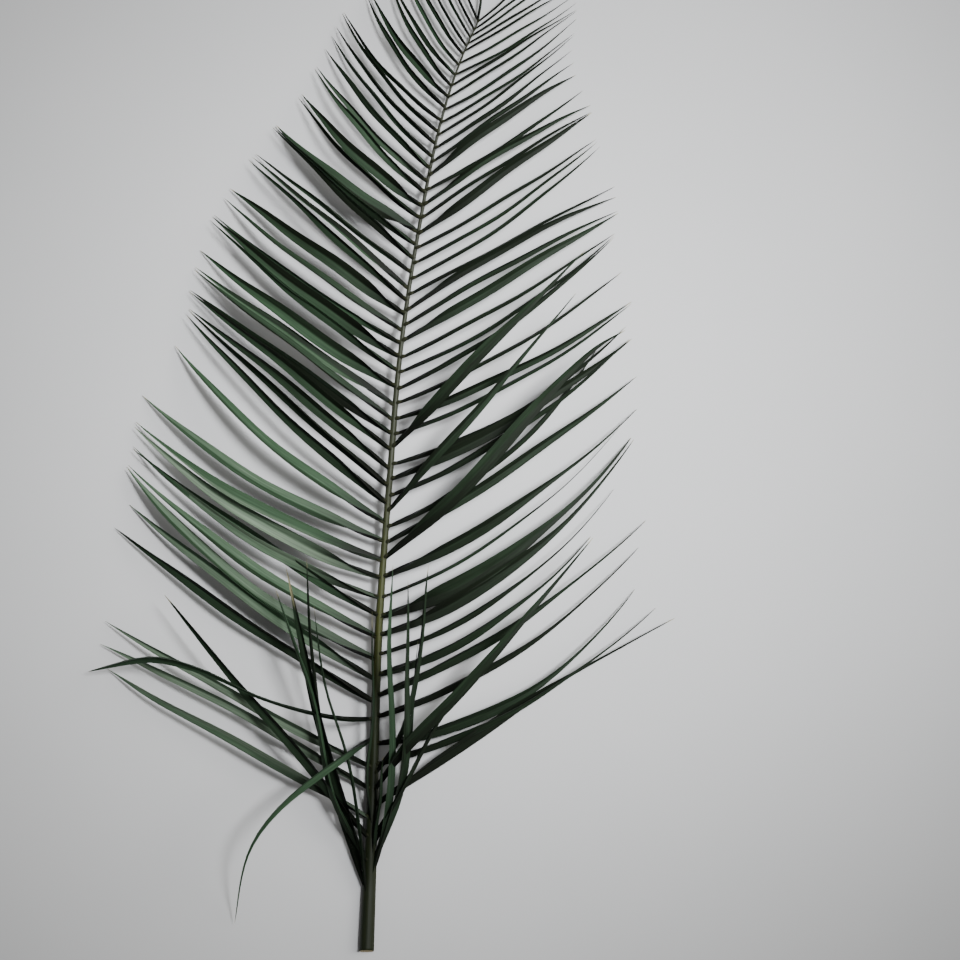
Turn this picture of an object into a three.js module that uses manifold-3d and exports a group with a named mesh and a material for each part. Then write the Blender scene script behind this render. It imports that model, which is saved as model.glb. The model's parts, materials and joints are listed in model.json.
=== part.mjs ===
// A preserved palm frond, cut and laid down: one rachis with two rows of folded leaflets.
// Millimetres. X runs across the frond, Y from the cut end to the apex, Z up from the surface it lies on.

import * as THREE from "three";
import { mergeVertices } from "three/addons/utils/BufferGeometryUtils.js";
import Module from "manifold-3d";

const wasm = await Module();
wasm.setup();

// The rachis: where it runs, how wide it is and how high its underside lies, from the cut end to the apex.
const RACHIS_SECTIONS = 18;
const RACHIS_SIDES = 8;
const RACHIS_LINE = [
  [-515, -15.5], [-364, -9.5], [-193, -3], [-36, 8.5], [83, 18.5],
  [200, 35.5], [318, 59], [382, 79.5], [422, 97.5],
];
const RACHIS_WIDTH = [
  [-515, 15], [-440, 13.5], [-364, 12], [-330, 9.8], [-180, 8], [-120, 6.8],
  [17, 6.2], [83, 5], [160, 4.2], [267, 3.5], [350, 2.6], [422, 1.8],
];
const RACHIS_CLEARANCE = [
  [-515, 0], [-444, 0], [-364, 5], [-200, 15], [-40, 23], [100, 24], [240, 18], [360, 10], [422, 6],
];
const RACHIS_DEPTH_SHARE = 0.8;
const CUT_SLANT = 0.3;

// A leaflet is a thin blade folded along its midrib: narrow and shut at the root, open in the middle.
const BLADE_THICKNESS = 0.75;
const SMALL_STATIONS = [0, 0.14, 0.42, 0.76, 1];
const ROW_STATIONS = [0, 0.1, 0.32, 0.58, 0.83, 1];
const LOOSE_STATIONS = [0, 0.12, 0.27, 0.42, 0.57, 0.72, 0.87, 1];
const SMALL_UNTIL = 13;
const LEAD = 0.01;
const MERGE_WITHIN = 1e-5;
const HALVINGS = 24;
const BLADE_OUTLINE = [[0, 0.36], [0.09, 0.5], [0.25, 0.86], [0.45, 1], [0.66, 0.86], [0.86, 0.44], [1, 0]];
const ROOT_FOLD = 62;
const ROOT_ROLL = 68;
const OPEN_AT = 0.4;
const ROOT_SINK = 0.3;

// How a leaflet is held: blade width in mm, and in degrees its roll towards the apex and its fold.
const HABITS = {
  e: { width: 11.5, roll: 66, fold: 34 },
  h: { width: 12.5, roll: 50, fold: 28 },
  o: { width: 13.5, roll: 36, fold: 22 },
  b: { width: 15.5, roll: 20, fold: 16 },
  w: { width: 19, roll: 12, fold: 12 },
};

// Leaflets near the apex are smaller, and so is what they rise and step by.
const BLADE_SCALE = [[1, 0.42], [6, 0.56], [12, 0.78], [18, 1]];
const ARCH = [[1, 3], [10, 9], [20, 15], [36, 20], [52, 18]];
const TIP_HEIGHT = 0.8;
const TIP_SPREAD = 5;
const GROUP_STEP = 6;
const PLANE_STEP = 7;
const GATHER = 0.75;
const ROOT_JITTER = 1.6;

// The two rows, numbered from the apex: where a leaflet leaves the rachis, [number, Y], where its tip lies,
// [number, X, Y], how far it bows towards the foot, and which neighbours gather at their tips. A row's habits
// name how each leaflet is held, with a dash where a loose leaflet takes its place.
const LEFT_ROW = {
  side: -1,
  seed: 11,
  roots: [[1, 420], [5, 387], [10, 333], [20, 209], [30, 68], [35, -11], [40, -100], [45, -196], [52, -352]],
  tips: [
    [1, 63, 515], [5, 28, 490], [9, -6, 455], [11, -37, 434], [14, -51, 407], [18, -76, 354], [20, -102, 322],
    [23, -119, 300], [26, -153, 253], [29, -170, 224], [31, -183, 191], [34, -193, 154],
    [37, -194, 130], [39, -208, 95], [40, -241, 45], [42, -250, 6], [44, -250, -12], [46, -257, -31],
    [47, -254, -65],
    [48, -269, -88], [51, -278, -182], [52, -283, -205],
  ],
  bows: [
    [1, 2], [5, 6], [9, 7], [11, 9], [15, 5], [20, 8], [22, 1], [26, 0], [27, 6], [31, 4], [36, -3], [38, 5],
    [39, 13], [43, 15], [44, 4], [46, 20], [47, 4], [51, 0], [52, -8],
  ],
  groups: [[7, 8], [9, 10], [11, 12], [16, 17], [18, 19], [20, 22], [23, 25], [28, 30], [32, 33], [34, 35],
    [36, 38], [41, 42], [43, 44], [45, 46]],
  habits: "eeeehhhhohe" + "eeehhhbebhhehhbhhbhb" + "ohooo" + "ehhohboohhoh" + "--oo",
};
const RIGHT_ROW = {
  side: 1,
  seed: 37,
  roots: [[1, 420], [5, 390], [10, 331], [15, 264], [20, 191], [25, 113], [30, 35], [35, -40], [40, -119],
    [45, -215], [48, -278], [50, -304], [51, -326], [52, -368]],
  tips: [
    [1, 163, 485], [4, 193, 465], [7, 196, 440], [10, 196, 424], [13, 191, 392], [15, 195, 367],
    [17, 210, 337], [19, 211, 327], [21, 216, 299], [23, 234, 255], [26, 238, 224], [29, 231, 196],
    [31, 252, 143], [34, 245, 114], [35, 256, 103], [38, 218, 95], [39, 256, 64], [41, 256, 31],
    [42, 238, 12], [44, 256, -2],
    [46, 210, -97], [47, 265, -81], [48, 258, -108], [50, 254, -150], [51, 275, -169], [52, 294, -179],
  ],
  bows: [
    [1, 3], [5, 1], [7, 5], [8, 0], [10, 6], [13, 4], [15, -4], [16, 5], [17, -5], [19, 0], [21, 8], [22, 9],
    [24, -8], [26, 0], [28, 12], [31, 10], [34, 18], [35, 10], [38, 22], [39, 6], [41, 14], [43, 24],
    [44, 26], [46, 18], [47, 14], [48, 20], [50, 32], [51, 18], [52, -9],
  ],
  groups: [[8, 9], [11, 12], [18, 19], [20, 22], [25, 26], [27, 29], [31, 32], [35, 36], [43, 44]],
  habits: "eeeeeeeheh" + "eehhbhoebe" + "eeeohbeehe" + "oe-hbh-ho-" + "oewbhhhh-o" + "ho",
};

// Leaflets that leave the row: how each is held, where it leaves the rachis, and the places, [X, Y, Z], that
// it passes on its way to its tip, the last of them.
const LOOSE_LEAFLETS = {
  end: { habit: "e", scale: 0.4, rootY: 419, places: [[99, 440, 10], [103, 497, 9]] },
  firstCrossing: { habit: "b", rootY: -8, places: [[65, 49, 66], [140, 124, 80], [202, 186, 72]] },
  secondCrossing: { habit: "o", rootY: -72, places: [[59, -11, 64], [127, 65, 76], [193, 144, 64]] },
  thirdCrossing: {
    habit: "b", rootY: -119,
    places: [[69, -60, 62], [118, -8, 72], [211, 89, 66], [242, 108, 58]],
  },
  longDiagonal: {
    habit: "b", rootY: -352,
    places: [[22, -309, 46], [80, -246, 68], [132, -189, 76], [210, -97, 62]],
  },
  thinDiagonal: {
    habit: "e", scale: 0.8, rootY: -400,
    places: [[18, -355, 32], [56, -282, 46], [118, -210, 50]],
  },
  level: {
    habit: "e", rootY: -280,
    places: [[-41, -276, 52], [-117, -255, 68], [-179, -228, 64], [-225, -217, 50], [-294, -232, 16]],
  },
  drooping: {
    habit: "h", rootY: -299,
    places: [[-37, -314, 66], [-102, -366, 86], [-129, -404, 68], [-148, -485, 6]],
  },
  lowLeft: {
    habit: "o", rootY: -380,
    places: [[-47, -357, 20], [-110, -320, 30], [-225, -259, 20], [-276, -230, 3]],
  },
  leftRising: {
    habit: "h", rootY: -400,
    places: [[-48, -355, 32], [-102, -286, 50], [-175, -202, 50], [-215, -154, 42]],
  },
  leftUpright: {
    habit: "h", rootY: -440,
    places: [[-37, -364, 26], [-60, -282, 56], [-71, -221, 76], [-91, -125, 96]],
  },
  leftSlim: { habit: "e", rootY: -425, places: [[-45, -362, 34], [-68, -251, 68], [-102, -146, 86]] },
  leftInner: {
    habit: "e", scale: 0.6, rootY: -460,
    places: [[-30, -328, 44], [-54, -244, 72], [-64, -163, 92]],
  },
  leftOuter: { habit: "e", rootY: -455, places: [[-46, -360, 16], [-68, -220, 52], [-72, -117, 74]] },
  middleThin: {
    habit: "e", scale: 0.5, rootY: -395,
    places: [[-14, -340, 26], [-8, -270, 44], [-8, -170, 62]],
  },
  rightLight: { habit: "h", rootY: -440, places: [[8, -360, 28], [9, -200, 62], [13, -123, 78]] },
  rightDark: {
    habit: "h", rootY: -430,
    places: [[16, -358, 26], [25, -299, 50], [27, -225, 70], [28, -139, 88]],
  },
  rightSlim: { habit: "e", rootY: -336, places: [[16, -300, 30], [32, -255, 42], [48, -124, 72]] },
  rightShort: {
    habit: "e", scale: 0.6, rootY: -410,
    places: [[22, -340, 15], [31, -270, 30], [37, -200, 44]],
  },
  darkStub: { habit: "e", scale: 0.8, rootY: -420, places: [[-3, -370, 24], [2, -316, 36]] },
};

// The values of a list of keys at a place on it, on straight runs between the keys.
function follow(keys, at) {
  const next = Math.max(1, keys.findIndex(([place]) => place >= at));
  const [low, ...from] = keys[next - 1];
  const [high, ...to] = keys[next];
  const share = THREE.MathUtils.clamp((at - low) / (high - low), 0, 1);
  return from.map((value, k) => value + (to[k] - value) * share);
}

// A number from 0 to 1 that looks random and is the same each time for the same seed.
function chance(seed) {
  const wave = Math.sin(seed * 12.9898 + 78.233) * 43758.5453;
  return wave - Math.floor(wave);
}

const rachisCurve = new THREE.CatmullRomCurve3(RACHIS_LINE.map(([y, x]) => new THREE.Vector3(x, y, 0)));

// The rachis at a share of its length: its middle, half its width and half its depth.
function rachisSection(share) {
  const middle = rachisCurve.getPoint(share);
  const halfWidth = follow(RACHIS_WIDTH, middle.y)[0] / 2;
  const halfDepth = halfWidth * RACHIS_DEPTH_SHARE;
  middle.z = follow(RACHIS_CLEARANCE, middle.y)[0] + halfDepth;
  return { middle, halfWidth, halfDepth };
}

// The rachis at a place along Y, found by halving.
function rachisAt(y) {
  let low = 0;
  let high = 1;
  for (let step = 0; step < HALVINGS; step += 1) {
    const share = (low + high) / 2;
    if (rachisCurve.getPoint(share).y < y) low = share;
    else high = share;
  }
  return rachisSection(low);
}

// The triangles between rings of the same count of points, and the flat fans that close the two ends.
function loft(rings) {
  const count = rings[0].length;
  const faces = [];
  for (let r = 0; r + 1 < rings.length; r += 1) {
    for (let k = 0; k < count; k += 1) {
      const a = r * count + k;
      const b = r * count + ((k + 1) % count);
      faces.push(a, a + count, b, b, a + count, b + count);
    }
  }
  const last = (rings.length - 1) * count;
  for (let k = 1; k + 1 < count; k += 1) faces.push(0, k, k + 1, last, last + k + 1, last + k);
  return faces;
}

// The manifold solid of a point list and its triangles, turned to face outwards.
function solidOf(points, faces) {
  const geometry = new THREE.BufferGeometry().setFromPoints(points);
  geometry.setIndex(faces);
  const merged = mergeVertices(geometry, MERGE_WITHIN);
  const mesh = new wasm.Mesh({
    numProp: 3,
    vertProperties: new Float32Array(merged.attributes.position.array),
    triVerts: new Uint32Array(merged.index.array),
  });
  return new wasm.Manifold(mesh);
}

// The rachis: eight flat sides, so that its underside near the cut end is one flat strip.
function makeRachis() {
  const rings = [];
  const corner = Math.cos(Math.PI / RACHIS_SIDES);
  for (let s = 0; s <= RACHIS_SECTIONS; s += 1) {
    const { middle, halfWidth, halfDepth } = rachisSection(s / RACHIS_SECTIONS);
    const ring = [];
    for (let k = 0; k < RACHIS_SIDES; k += 1) {
      const angle = ((k + 0.5) / RACHIS_SIDES) * 2 * Math.PI;
      const up = (halfDepth * Math.sin(angle)) / corner;
      const slant = s === 0 ? CUT_SLANT * (up + halfDepth) : 0;
      const aside = (halfWidth * Math.cos(angle)) / corner;
      ring.push(middle.clone().add(new THREE.Vector3(aside, slant, up)));
    }
    rings.push(ring);
  }
  return solidOf(rings.flat(), loft(rings));
}

// Where a leaflet starts: inside the rachis, a little to its side and above its middle.
function rootPoint(rootY, side) {
  const { middle, halfWidth, halfDepth } = rachisAt(rootY);
  return middle.clone().add(new THREE.Vector3(side * ROOT_SINK * halfWidth, 0, ROOT_SINK * halfDepth));
}

// The path of a leaflet of a row: from its root to its tip, bowed towards the foot and arched up.
function rowPath(row, number) {
  const group = row.groups.find(([first, last]) => number >= first && number <= last);
  const rank = group ? number - group[0] : 0;
  const centre = group ? (group[0] + group[1]) / 2 : number;
  const [tipX, tipY] = follow(row.tips, centre + (number - centre) * (1 - GATHER));
  const scale = follow(BLADE_SCALE, number)[0];
  const shift = (chance(row.seed + number) - 0.5) * ROOT_JITTER;
  const root = rootPoint(follow(row.roots, number)[0] + shift * scale, row.side);
  const height = TIP_HEIGHT + GROUP_STEP * rank * scale + TIP_SPREAD * scale * chance(row.seed * 3 + number);
  const tip = new THREE.Vector3(tipX, tipY, height);
  const bow = follow(row.bows, number)[0];
  const arch = follow(ARCH, number)[0] + (number % 2) * PLANE_STEP * scale;
  const across = new THREE.Vector3(row.side * (tip.y - root.y), -row.side * (tip.x - root.x), 0).normalize();
  return (t) => {
    const swell = 4 * t * (1 - t);
    const point = root.clone().lerp(tip, t).addScaledVector(across, swell * bow);
    point.z += swell * arch;
    return point;
  };
}

// The side of the rachis that a loose leaflet leans to.
function leanOf({ rootY, places }) {
  return Math.sign(places[places.length - 1][0] - rachisAt(rootY).middle.x);
}

// The path of a loose leaflet: a smooth curve through its root and its places.
function loosePath({ rootY, places }, side) {
  const points = [rootPoint(rootY, side), ...places.map((place) => new THREE.Vector3(...place))];
  const curve = new THREE.CatmullRomCurve3(points, false, "centripetal");
  return (t) => curve.getPointAt(t);
}

// One ring of a blade: three points along its upper face and the same three below it.
function bladeRing(path, t, side, habit, scale) {
  const ahead = path(Math.min(1, t + LEAD)).sub(path(Math.max(0, t - LEAD))).normalize();
  const opening = THREE.MathUtils.smoothstep(t, 0, OPEN_AT);
  const roll = THREE.MathUtils.degToRad(ROOT_ROLL + (habit.roll - ROOT_ROLL) * opening);
  const fold = THREE.MathUtils.degToRad(ROOT_FOLD + (habit.fold - ROOT_FOLD) * opening);
  const across = new THREE.Vector3().crossVectors(ahead, new THREE.Vector3(0, 0, 1)).normalize();
  across.applyAxisAngle(ahead, side * roll);
  const up = new THREE.Vector3().crossVectors(across, ahead);
  const wing = (habit.width / 2) * scale * follow(BLADE_OUTLINE, t)[0];
  const keel = path(t).addScaledVector(up, -0.5 * wing * Math.sin(fold));
  const edge = (way) => keel.clone().addScaledVector(across, way * wing * Math.cos(fold))
    .addScaledVector(up, wing * Math.sin(fold));
  const upper = [edge(-1), keel, edge(1)];
  const below = up.clone().multiplyScalar(-BLADE_THICKNESS / Math.cos(fold));
  return [...upper, ...upper.map((point) => point.clone().add(below)).reverse()];
}

// A leaflet's solid. Its two faces are split into triangles alike.
function makeLeaflet(path, side, habit, scale, stations) {
  const rings = stations.slice(0, -1).map((t) => bladeRing(path, t, side, habit, scale));
  const points = [...rings.flat(), path(1)];
  const count = 6;
  const faces = [0, 5, 4, 0, 4, 1, 1, 4, 3, 1, 3, 2];
  const last = (rings.length - 1) * count;
  for (let r = 0; r + 1 < rings.length; r += 1) {
    for (let k = 0; k < count; k += 1) {
      const a = r * count + k;
      const b = r * count + ((k + 1) % count);
      const c = a + count;
      const d = b + count;
      faces.push(...(k < 2 ? [a, b, d, a, d, c] : [a, b, c, b, d, c]));
    }
  }
  for (let k = 0; k < count; k += 1) faces.push(last + k, last + ((k + 1) % count), points.length - 1);
  return solidOf(points, faces);
}

// Every leaflet of one row.
function makeRow(row) {
  return [...row.habits].flatMap((letter, k) => {
    if (letter === "-") return [];
    const number = k + 1;
    const scale = follow(BLADE_SCALE, number)[0];
    const stations = number < SMALL_UNTIL ? SMALL_STATIONS : ROW_STATIONS;
    return [makeLeaflet(rowPath(row, number), row.side, HABITS[letter], scale, stations)];
  });
}

// Every loose leaflet, rolled towards the side that it leans to.
function makeLoose() {
  return Object.values(LOOSE_LEAFLETS).map((leaflet) => {
    const side = leanOf(leaflet);
    const scale = leaflet.scale ?? 1;
    return makeLeaflet(loosePath(leaflet, side), side, HABITS[leaflet.habit], scale, LOOSE_STATIONS);
  });
}

// The mesh of a finished solid.
function meshOf(solid, name, material) {
  const made = solid.getMesh();
  const geometry = new THREE.BufferGeometry();
  geometry.setAttribute("position", new THREE.BufferAttribute(new Float32Array(made.vertProperties), 3));
  geometry.setIndex(new THREE.BufferAttribute(new Uint32Array(made.triVerts), 1));
  geometry.computeVertexNormals();
  const mesh = new THREE.Mesh(geometry, material);
  mesh.name = name;
  return mesh;
}

const leafGreen = new THREE.MeshStandardMaterial({ color: "#34503a", roughness: 0.55, metalness: 0 });
const leaflets = [...makeRow(LEFT_ROW), ...makeRow(RIGHT_ROW), ...makeLoose()];
const frond = leaflets.reduce((joined, leaflet) => joined.add(leaflet), makeRachis());

const group = new THREE.Group();
group.add(meshOf(frond, "frond", leafGreen));

export default group;
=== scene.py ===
"""A preserved palm frond, cut and laid on a pale surface, seen from above.

The stem and its leaflets follow the same rule as the solids: the same lines, rows and loose leaflets, in
millimetres, turned into finer blades by Geometry Nodes and finished with procedural materials.
"""

import json
import logging
import math
from dataclasses import dataclass
from enum import Enum
from functools import partial
from typing import Any, Callable, Iterable, Optional, Sequence

import bmesh
import bpy
import numpy as np
from bpy.types import Material, Mesh, NodeTree
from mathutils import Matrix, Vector

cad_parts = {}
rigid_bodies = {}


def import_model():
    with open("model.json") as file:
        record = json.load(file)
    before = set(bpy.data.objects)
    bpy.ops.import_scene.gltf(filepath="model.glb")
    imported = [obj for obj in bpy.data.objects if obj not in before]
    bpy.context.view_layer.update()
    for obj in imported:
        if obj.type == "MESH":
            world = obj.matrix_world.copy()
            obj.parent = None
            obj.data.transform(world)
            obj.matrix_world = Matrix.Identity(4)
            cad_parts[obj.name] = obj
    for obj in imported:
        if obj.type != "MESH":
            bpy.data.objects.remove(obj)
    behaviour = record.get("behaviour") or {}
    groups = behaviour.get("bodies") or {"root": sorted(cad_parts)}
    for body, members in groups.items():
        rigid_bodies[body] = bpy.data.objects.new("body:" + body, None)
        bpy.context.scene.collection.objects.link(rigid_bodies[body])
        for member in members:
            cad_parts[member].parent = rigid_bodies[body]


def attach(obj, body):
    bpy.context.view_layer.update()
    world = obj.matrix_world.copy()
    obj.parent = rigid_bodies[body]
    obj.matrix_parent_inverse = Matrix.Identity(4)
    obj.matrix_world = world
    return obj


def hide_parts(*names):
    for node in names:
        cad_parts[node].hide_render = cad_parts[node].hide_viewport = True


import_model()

LOG = logging.getLogger("frond")
MM = 0.001
NODE = "frond"
HELPERS = "midrib across up wing fold run span face hand contrast ahead size".split()
Keys = Sequence[tuple[float, ...]]
Point = tuple[float, float, float]
Adder = Callable[..., Any]
Sockets = dict[str, Any]


def follow(keys: Keys, at: float) -> np.ndarray:
    """The values of a list of keys at a place on it, on straight runs between the keys.

    Args:
        keys: rows of a place followed by the values there, in rising order of place.
        at: the place to read.

    Returns:
        The values at that place.
    """
    table = np.asarray(keys, dtype=float)
    return np.array([np.interp(at, table[:, 0], column) for column in table[:, 1:].T])


def level_at(keys: Keys, at: float) -> float:
    """The first value of a list of keys at a place on it."""
    return float(follow(keys, at)[0])


def chance(seed: float) -> float:
    """A number from 0 to 1 that looks random and is the same each time for the same seed."""
    wave = math.sin(seed * 12.9898 + 78.233) * 43758.5453
    return wave - math.floor(wave)


def smooth(share: np.ndarray | float, end: float) -> np.ndarray | float:
    """A smooth rise from 0 at 0 to 1 at end."""
    x = np.clip(np.asarray(share, dtype=float) / end, 0.0, 1.0)
    return x * x * (3.0 - 2.0 * x)


def unit(vectors: np.ndarray) -> np.ndarray:
    """Vectors of length one, along the last axis."""
    return vectors / np.linalg.norm(vectors, axis=-1, keepdims=True)


class SmoothCurve:
    """A centripetal Catmull-Rom curve through a few points."""

    SAMPLES = 200

    def __init__(self, points: Sequence[Sequence[float]]) -> None:
        """Keeps the points, with one more mirrored past each end."""
        inner = np.asarray(points, dtype=float)
        before = 2.0 * inner[0] - inner[1]
        after = 2.0 * inner[-1] - inner[-2]
        self.points = np.vstack([before, inner, after])
        self.spans = len(inner) - 1
        at = np.linspace(0.0, 1.0, self.SAMPLES + 1)
        steps = np.linalg.norm(np.diff([self.point(t) for t in at], axis=0), axis=1)
        self.at = at
        self.lengths = np.concatenate([[0.0], np.cumsum(steps)])

    def point(self, t: float) -> np.ndarray:
        """The point at a share of the spans.

        Args:
            t: 0 at the first point and 1 at the last, each span taking an equal part.

        Returns:
            The point on the curve.
        """
        place = min(max(t, 0.0), 1.0) * self.spans
        span = min(int(place), self.spans - 1)
        w = place - span
        p0, p1, p2, p3 = self.points[span : span + 4]
        d0, d1, d2 = (math.sqrt(float(np.linalg.norm(b - a))) for a, b in ((p0, p1), (p1, p2), (p2, p3)))
        m1 = ((p1 - p0) / d0 - (p2 - p0) / (d0 + d1) + (p2 - p1) / d1) * d1
        m2 = ((p2 - p1) / d1 - (p3 - p1) / (d1 + d2) + (p3 - p2) / d2) * d1
        c2 = -3.0 * p1 + 3.0 * p2 - 2.0 * m1 - m2
        c3 = 2.0 * p1 - 2.0 * p2 + m1 + m2
        return p1 + w * (m1 + w * (c2 + w * c3))

    def even(self, share: float) -> np.ndarray:
        """The point at a share of the curve's length."""
        target = min(max(share, 0.0), 1.0) * self.lengths[-1]
        return self.point(float(np.interp(target, self.lengths, self.at)))


class Habit(Enum):
    """How a leaflet is held: blade width in mm, and in degrees its roll towards the apex and its fold."""

    EDGE = (11.5, 66.0, 34.0)
    HALF = (12.5, 50.0, 28.0)
    OPEN = (13.5, 36.0, 22.0)
    BROAD = (15.5, 20.0, 16.0)
    WIDE = (19.0, 12.0, 12.0)


HABIT_LETTERS = dict(zip("ehobw", Habit))
# Dark, middling, greyish green and light: places on the leaf's ramp of colours, from dark to the pale end.
# The lighter places are partly painted light on lit leaflets, and the pale end is painted sheen.
TONE_LETTERS = {"d": 0.08, "m": 0.39, "g": 0.6, "l": 0.84}

# Half widths along a blade, as shares of the widest. All but two kinds swell alike from the root.
SWELL = ((0, 0.46), (0.03, 0.7), (0.07, 0.88), (0.13, 0.96), (0.2, 1))
# A long even taper.
TAPERED = SWELL + (
    (0.3, 1), (0.42, 1), (0.54, 0.93), (0.66, 0.78), (0.76, 0.6), (0.86, 0.38), (0.93, 0.2),
    (0.97, 0.1), (1, 0.025),
)
# A taper that ends in a thin tail, and one with a longer tail still.
TAILED = SWELL + (
    (0.3, 1), (0.4, 1), (0.52, 0.9), (0.62, 0.7), (0.72, 0.47), (0.82, 0.29), (0.9, 0.18), (0.96, 0.11),
    (1, 0.03),
)
LONG_TAILED = (
    (0, 0.46), (0.03, 0.7), (0.07, 0.88), (0.13, 0.97), (0.2, 1), (0.34, 1), (0.43, 0.86), (0.52, 0.62),
    (0.6, 0.41), (0.67, 0.28), (0.76, 0.2), (0.86, 0.15), (0.94, 0.1), (1, 0.03),
)
# A blade that is broadest in its outer half.
HIPPED = (
    (0, 0.46), (0.04, 0.8), (0.1, 1), (0.22, 0.95), (0.36, 0.6), (0.48, 0.55), (0.56, 0.85), (0.66, 1.3),
    (0.76, 1.4), (0.85, 1.1), (0.93, 0.55), (0.97, 0.25), (1, 0.03),
)
# A strap that keeps its width.
STRAP = SWELL + (
    (0.55, 1), (0.67, 0.93), (0.78, 0.75), (0.87, 0.5), (0.93, 0.28), (0.97, 0.13), (1, 0.03),
)


@dataclass(frozen=True)
class Blade:
    """Sizes that every leaflet shares, in mm and degrees.

    open_at, lead, dry_share, brown_from and fold_shade_from are shares of a leaflet's length, and root_sink, curl,
    gather, browning, row_dry, tone_jitter and flipped_share are plain shares.
    """

    root_fold: float = 62.0
    root_roll: float = 68.0
    open_at: float = 0.26
    root_sink: float = 0.3
    lead: float = 0.01
    stations: int = 30
    thickness: float = 0.4
    keel: float = 0.45
    sides: int = 24
    curl: float = 0.18
    lowest: float = 0.15
    scales: Keys = ((1, 0.42), (6, 0.56), (12, 0.78), (18, 1))
    arch: Keys = ((1, 3), (10, 9), (20, 15), (36, 20), (52, 18))
    tip_height: float = 0.8
    tip_spread: float = 5.0
    group_step: float = 6.0
    plane_step: float = 7.0
    gather: float = 0.75
    root_jitter: float = 1.6
    wander: float = 0.9
    wander_turns: float = 1.7
    twist: float = 7.0
    twist_turns: float = 0.8
    dry_share: float = 0.24
    brown_from: float = 0.93
    browning: float = 0.6
    # Where the painted shade of the closed fold starts; flipped_share is the share of leaflets whose painted
    # darker wing is the other one.
    fold_shade_from: float = 0.05
    row_dry: float = 0.12
    tone_jitter: float = 0.14
    flipped_share: float = 0.25


BLADE = Blade()


@dataclass(frozen=True)
class Row:
    """One row of leaflets, numbered from the apex.

    roots are [number, Y], tips [number, X, Y] and bows [number, mm towards the foot]; groups are neighbours
    whose tips gather; habits and tones say by a letter how each leaflet is held and how light it is, with a
    dash where a loose leaflet takes its place. A tone is partly the leaflet's own tone and partly painted
    light
    and shade: lit leaflets are drawn lighter, shaded ones darker. breadth is [number, share of the habit's
    width], outlines the taper from a number on, lightness a share of the tones, under 1 for a row drawn
    darker in painted shade, contrast [number, how far the two wings of a blade differ in painted light and
    shade], closed [number, share of the length that stays folded and takes painted near-black shade] and
    turned the numbers whose broad wing is the one on the apex side.
    """

    name: str
    side: int
    seed: int
    roots: Keys
    tips: Keys
    bows: Keys
    groups: Sequence[tuple[int, int]]
    habits: str
    tones: str
    breadth: Keys
    outlines: Sequence[tuple[int, Keys]]
    lightness: float
    contrast: Keys
    closed: Keys
    turned: Sequence[int] = ()

    def outline(self, number: int) -> Keys:
        """The taper of the leaflet with this number."""
        return [taper for first, taper in self.outlines if first <= number][-1]


@dataclass(frozen=True)
class Loose:
    """A leaflet that leaves its row: where it leaves the stem, and the places that it passes to its tip."""

    name: str
    habit: Habit
    root_y: float
    places: Sequence[Point]
    scale: float = 1.0
    breadth: float = 1.0
    outline: Keys = TAPERED
    # tone is partly the leaflet's own tone and partly painted light and shade; closed sets how far the
    # painted shade of the closed fold reaches.
    tone: str = "d"
    dry: float = 0.0
    closed: float = 0.3


LEFT_ROW = Row(
    name="left_leaflets",
    side=-1,
    seed=11,
    roots=(
        (1, 420), (5, 387), (10, 333), (20, 209), (30, 68), (35, -11), (40, -100), (45, -196), (52, -352),
    ),
    tips=(
        (1, 63, 515), (5, 28, 490), (9, -6, 455), (11, -37, 434), (14, -51, 407), (18, -76, 354),
        (20, -102, 322), (23, -119, 300), (26, -153, 253), (29, -170, 224), (31, -183, 191), (34, -193, 154),
        (37, -194, 130), (39, -208, 95), (40, -241, 45), (42, -250, 6), (44, -250, -12), (46, -257, -31),
        (47, -254, -65), (48, -269, -88), (51, -278, -182), (52, -283, -205),
    ),
    bows=(
        (1, 2), (5, 6), (9, 7), (11, 9), (15, 5), (20, 8), (22, 1), (26, 0), (27, 6), (31, 4), (36, -3),
        (38, 5), (39, 13), (43, 15), (44, 4), (46, 20), (47, 4), (51, 0), (52, -8),
    ),
    groups=(
        (7, 8), (9, 10), (11, 12), (16, 17), (18, 19), (20, 22), (23, 25), (28, 30), (32, 33), (34, 35),
        (36, 38), (41, 42), (43, 44), (45, 46),
    ),
    habits="eeeehhhhohe" + "eeehhhbebhhehhbhhbhb" + "ohooo" + "ehhohboohhoh" + "--oo",
    # Tones: partly each leaflet's own tone, partly painted light on lit leaflets and painted shade on shaded
    # ones.
    tones="ddmddmmdddd" + "ddmmmmdddmdmmdddmdmm" + "mdddd" + "ddmggllmmggd" + "--ll",
    breadth=(
        (1, 0.95), (10, 1.05), (17, 0.95), (18, 0.8), (19, 0.95), (30, 1), (36, 1), (37, 1.4), (39, 1.4),
        (40, 1.15), (41, 1.45), (42, 1), (44, 1.1), (45, 1.4), (46, 1.5), (47, 1.2), (48, 1.45), (51, 1),
        (52, 1),
    ),
    outlines=((1, TAPERED), (46, STRAP)),
    lightness=1.0,
    # Painted light and shade on the wings, and how far the painted shade of the closed fold reaches from the
    # root.
    contrast=((1, 0.4), (14, 0.62), (36, 0.62), (39, 0.35), (52, 0.35)),
    closed=((1, 0.3), (40, 0.3), (43, 0.38), (48, 0.45), (52, 0.55)),
    turned=(20, 24, 27, 32, 33, 39, 40, 41, 45, 46),
)
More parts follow.
